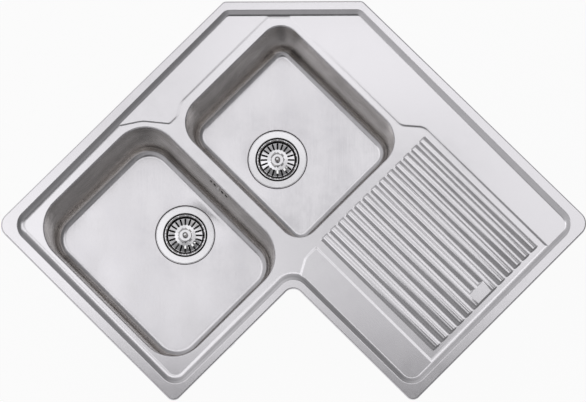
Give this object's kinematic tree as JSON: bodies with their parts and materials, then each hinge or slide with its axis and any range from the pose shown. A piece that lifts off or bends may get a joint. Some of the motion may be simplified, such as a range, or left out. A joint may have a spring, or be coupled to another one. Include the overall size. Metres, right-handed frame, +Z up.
{
  "type": "corner kitchen sink",
  "caption": "Inset stainless steel corner sink: a bowl in each arm of the corner, a ribbed drainer, strainer wastes, an overflow and worktop fixings.",
  "frame": {"origin": "centre of the square that the two wall sides span, on the worktop's upper face, which is the underside of the worktop seal", "axes": "+X along the right-hand wall, +Y towards the back wall, +Z up out of the bowls"},
  "size_m": [0.83, 0.83, 0.248],
  "materials": {
    "pressed_steel": "satin brushed stainless steel sheet",
    "bowl_steel": "satin drawn stainless steel",
    "polished_steel": "polished stainless steel strainer parts",
    "black_rubber": "moulded black rubber",
    "seal_rubber": "extruded grey-black seal rubber",
    "pad_bitumen": "matt sound-deadening sheet",
    "waste_plastic": "moulded white polypropylene",
    "zinc_steel": "zinc-plated steel"
  },
  "bodies": {
    "sink": {"corner_body_gasket": "black_rubber", "corner_bowl": "bowl_steel", "corner_bowl_pad": "pad_bitumen", "corner_clamp_screw": "polished_steel", "corner_dish_seal": "black_rubber", "corner_strainer_dish": "polished_steel", "corner_waste_body": "waste_plastic", "fixing_bolts": "zinc_steel", "fixing_brackets": "zinc_steel", "fixing_nuts": "zinc_steel", "left_body_gasket": "black_rubber", "left_bowl": "bowl_steel", "left_bowl_pad": "pad_bitumen", "left_clamp_screw": "polished_steel", "left_dish_seal": "black_rubber", "left_strainer_dish": "polished_steel", "left_waste_body": "waste_plastic", "overflow_gasket": "black_rubber", "overflow_housing": "waste_plastic", "overflow_nuts": "waste_plastic", "overflow_pipe": "waste_plastic", "overflow_screw": "polished_steel", "sink_deck": "pressed_steel", "worktop_seal": "seal_rubber"},
    "left_strainer": {"left_basket": "polished_steel", "left_basket_ring": "black_rubber", "left_basket_sleeve": "waste_plastic", "left_basket_knob": "polished_steel"},
    "corner_strainer": {"corner_basket": "polished_steel", "corner_basket_ring": "black_rubber", "corner_basket_sleeve": "waste_plastic", "corner_basket_knob": "polished_steel"},
    "dog_1": {"fixing_dog_1": "zinc_steel"},
    "dog_2": {"fixing_dog_2": "zinc_steel"},
    "dog_3": {"fixing_dog_3": "zinc_steel"},
    "dog_4": {"fixing_dog_4": "zinc_steel"},
    "dog_5": {"fixing_dog_5": "zinc_steel"},
    "dog_6": {"fixing_dog_6": "zinc_steel"},
    "dog_7": {"fixing_dog_7": "zinc_steel"},
    "dog_8": {"fixing_dog_8": "zinc_steel"},
    "dog_9": {"fixing_dog_9": "zinc_steel"}
  },
  "joints": [
    {"name": "left_strainer_lift", "type": "slide", "parent": "sink", "child": "left_strainer", "axis": [0, 0, 1], "range_m": [0, 0.19]},
    {"name": "corner_strainer_lift", "type": "slide", "parent": "sink", "child": "corner_strainer", "axis": [0, 0, 1], "range_m": [0, 0.19]},
    {"name": "dog_1_swing", "type": "hinge", "parent": "sink", "child": "dog_1", "pos_m": [-0.388, -0.22, -0.0435], "axis": [0, 0, 1], "range_deg": [-90, 90]},
    {"name": "dog_2_swing", "type": "hinge", "parent": "sink", "child": "dog_2", "pos_m": [-0.388, 0.09, -0.0435], "axis": [0, 0, 1], "range_deg": [-90, 90]},
    {"name": "dog_3_swing", "type": "hinge", "parent": "sink", "child": "dog_3", "pos_m": [-0.31841, 0.27841, -0.0435], "axis": [0, 0, 1], "range_deg": [-90, 90]},
    {"name": "dog_4_swing", "type": "hinge", "parent": "sink", "child": "dog_4", "pos_m": [-0.06, 0.388, -0.0435], "axis": [0, 0, 1], "range_deg": [-90, 90]},
    {"name": "dog_5_swing", "type": "hinge", "parent": "sink", "child": "dog_5", "pos_m": [0.25, 0.388, -0.0435], "axis": [0, 0, 1], "range_deg": [-90, 90]},
    {"name": "dog_6_swing", "type": "hinge", "parent": "sink", "child": "dog_6", "pos_m": [0.388, 0.165, -0.0435], "axis": [0, 0, 1], "range_deg": [-90, 90]},
    {"name": "dog_7_swing", "type": "hinge", "parent": "sink", "child": "dog_7", "pos_m": [0.25, -0.058, -0.0435], "axis": [0, 0, 1], "range_deg": [-90, 90]},
    {"name": "dog_8_swing", "type": "hinge", "parent": "sink", "child": "dog_8", "pos_m": [0.058, -0.25, -0.0435], "axis": [0, 0, 1], "range_deg": [-90, 90]},
    {"name": "dog_9_swing", "type": "hinge", "parent": "sink", "child": "dog_9", "pos_m": [-0.165, -0.388, -0.0435], "axis": [0, 0, 1], "range_deg": [-90, 90]}
  ]
}
